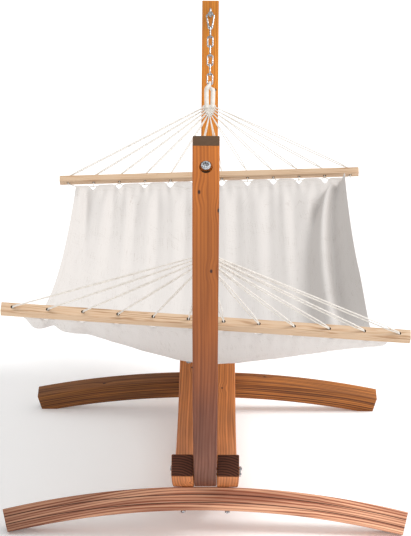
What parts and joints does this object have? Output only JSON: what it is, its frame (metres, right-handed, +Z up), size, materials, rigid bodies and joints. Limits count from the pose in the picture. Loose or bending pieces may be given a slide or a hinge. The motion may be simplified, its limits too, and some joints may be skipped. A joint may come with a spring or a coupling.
{
  "type": "hammock on stand",
  "caption": "Cloth hammock with wooden spreader bars, hung by cords, chains and spring hooks from a curved timber stand on two arched feet.",
  "frame": {"origin": "on the floor, under the middle of the stand", "axes": "+Z up, +Y along the stand from the front foot to the rear foot, +X to the right seen from the front"},
  "size_m": [1.2, 3.2474, 1.3503],
  "materials": {
    "oiled_larch": "oiled laminated larch, satin",
    "dark_larch": "oiled laminated larch, darker batch, satin",
    "pale_hardwood": "planed pale hardwood, clear matt",
    "zinc_plated_steel": "zinc plated, semi-bright",
    "cotton_rope": "twisted cotton cord",
    "cotton_canvas": "natural cotton canvas, plain weave"
  },
  "bodies": {
    "stand": {"arm_bolt_front_lower": "zinc_plated_steel", "arm_bolt_front_upper": "zinc_plated_steel", "arm_bolt_rear_lower": "zinc_plated_steel", "arm_bolt_rear_upper": "zinc_plated_steel", "arm_front": "oiled_larch", "arm_nut_front_lower": "zinc_plated_steel", "arm_nut_front_upper": "zinc_plated_steel", "arm_nut_rear_lower": "zinc_plated_steel", "arm_nut_rear_upper": "zinc_plated_steel", "arm_rear": "oiled_larch", "base_beam_left": "dark_larch", "base_beam_right": "dark_larch", "eye_bolt_front": "zinc_plated_steel", "eye_bolt_rear": "zinc_plated_steel", "eye_nut_front": "zinc_plated_steel", "eye_nut_rear": "zinc_plated_steel", "eye_washer_front": "zinc_plated_steel", "eye_washer_rear": "zinc_plated_steel", "foot_bolt_front_left": "zinc_plated_steel", "foot_bolt_front_right": "zinc_plated_steel", "foot_bolt_rear_left": "zinc_plated_steel", "foot_bolt_rear_right": "zinc_plated_steel", "foot_front": "oiled_larch", "foot_nut_front_left": "zinc_plated_steel", "foot_nut_front_right": "zinc_plated_steel", "foot_nut_rear_left": "zinc_plated_steel", "foot_nut_rear_right": "zinc_plated_steel", "foot_rear": "oiled_larch"},
    "front_suspension": {"chain_link_front_1": "zinc_plated_steel", "chain_link_front_2": "zinc_plated_steel", "chain_link_front_3": "zinc_plated_steel", "chain_link_front_4": "zinc_plated_steel", "chain_link_front_5": "zinc_plated_steel", "chain_link_front_6": "zinc_plated_steel", "spring_hook_front": "zinc_plated_steel"},
    "rear_suspension": {"chain_link_rear_1": "zinc_plated_steel", "chain_link_rear_2": "zinc_plated_steel", "chain_link_rear_3": "zinc_plated_steel", "chain_link_rear_4": "zinc_plated_steel", "chain_link_rear_5": "zinc_plated_steel", "chain_link_rear_6": "zinc_plated_steel", "spring_hook_rear": "zinc_plated_steel"},
    "front_gate": {"hook_gate_front": "zinc_plated_steel"},
    "rear_gate": {"hook_gate_rear": "zinc_plated_steel"},
    "bed": {"hammock_cloth": "cotton_canvas", "harness_cords_front": "cotton_rope", "harness_cords_rear": "cotton_rope", "rope_eye_front": "cotton_rope", "rope_eye_rear": "cotton_rope", "spreader_bar_front": "pale_hardwood", "spreader_bar_rear": "pale_hardwood"}
  },
  "joints": [
    {"name": "hammock_swing", "type": "hinge", "parent": "stand", "child": "front_suspension", "pos_m": [0, -1.511, 1.2942], "axis": [0, 1, 0], "range_deg": [-25, 25]},
    {"name": "rear_swing", "type": "hinge", "parent": "stand", "child": "rear_suspension", "pos_m": [0, 1.511, 1.2942], "axis": [0, 1, 0], "range_deg": [-25, 25]},
    {"name": "bed_roll", "type": "hinge", "parent": "front_suspension", "child": "bed", "pos_m": [0, -1.3185, 1.0663], "axis": [0, 1, 0], "range_deg": [-15, 15]},
    {"name": "front_hook_gate", "type": "hinge", "parent": "front_suspension", "child": "front_gate", "pos_m": [-0.0085, -1.4868, 1.2655], "axis": [0, 0.7638, 0.6455], "range_deg": [0, 25], "stiffness_Nm_per_rad": 0.05, "springref_deg": -28.65},
    {"name": "rear_hook_gate", "type": "hinge", "parent": "rear_suspension", "child": "rear_gate", "pos_m": [-0.0085, 1.4868, 1.2655], "axis": [0, 0.7638, -0.6455], "range_deg": [0, 25], "stiffness_Nm_per_rad": 0.05, "springref_deg": -28.65}
  ],
  "couplings": [
    {"joint": "rear_swing", "follows": "hammock_swing", "ratio": 1}
  ]
}
